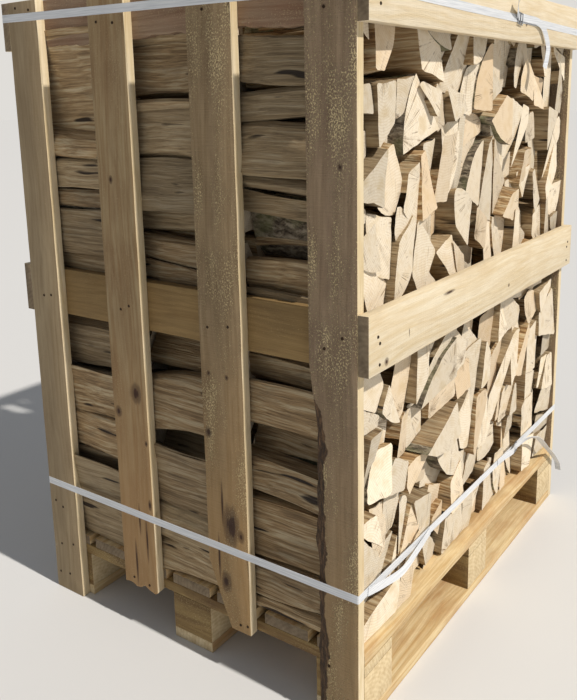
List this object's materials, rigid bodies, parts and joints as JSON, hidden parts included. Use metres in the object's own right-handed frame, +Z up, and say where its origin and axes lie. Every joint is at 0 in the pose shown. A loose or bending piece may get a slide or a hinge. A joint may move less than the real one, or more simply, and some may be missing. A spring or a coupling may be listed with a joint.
{
  "type": "firewood crate",
  "caption": "Split firewood stacked in rows in a slatted wooden crate on a pallet, held by boards across the log ends and bound with plastic straps.",
  "frame": {"origin": "on the ground under the middle of the pallet, at the bottom centre of the whole crate", "axes": "+Z up; X along the log-end faces; Y along the logs, with the strap buckles on the face that looks to -Y"},
  "size_m": [1.0422, 0.8455, 1.28],
  "materials": {
    "pallet_wood": "rough-sawn softwood, lightly stained",
    "block_wood": "sawn block, end grain and dark sides",
    "slat_wood": "rough-sawn, slightly fuzzy, nailed",
    "end_board_wood": "fresh sawn, pale and smooth",
    "log_wood": "split sides, saw-cut ends, some bark",
    "strap": "embossed translucent white band",
    "buckle_wire": "galvanised wire"
  },
  "bodies": {
    "root": {"back_board_mid": "end_board_wood", "back_board_top": "end_board_wood", "block_back_left": "block_wood", "block_back_middle": "block_wood", "block_back_right": "block_wood", "block_front_left": "block_wood", "block_front_middle": "block_wood", "block_front_right": "block_wood", "block_middle_left": "block_wood", "block_middle_middle": "block_wood", "block_middle_right": "block_wood", "deck_board_1": "pallet_wood", "deck_board_2": "pallet_wood", "deck_board_3": "pallet_wood", "deck_board_4": "pallet_wood", "deck_board_5": "pallet_wood", "deck_board_6": "pallet_wood", "deck_board_7": "pallet_wood", "front_board_mid": "end_board_wood", "front_board_top": "end_board_wood", "left_rail_mid": "slat_wood", "left_rail_top": "slat_wood", "left_slat_corner_back": "slat_wood", "left_slat_corner_front": "slat_wood", "left_slat_inner_back": "slat_wood", "left_slat_inner_front": "slat_wood", "log_row_back": "log_wood", "log_row_front": "log_wood", "log_row_middle": "log_wood", "lower_buckle": "buckle_wire", "lower_strap": "strap", "right_rail_mid": "slat_wood", "right_rail_top": "slat_wood", "right_slat_corner_back": "slat_wood", "right_slat_corner_front": "slat_wood", "right_slat_inner_back": "slat_wood", "right_slat_inner_front": "slat_wood", "skid_back": "pallet_wood", "skid_front": "pallet_wood", "skid_middle": "pallet_wood", "stringer_left": "pallet_wood", "stringer_middle": "pallet_wood", "stringer_right": "pallet_wood", "upper_buckle": "buckle_wire", "upper_strap": "strap"}
  },
  "joints": []
}
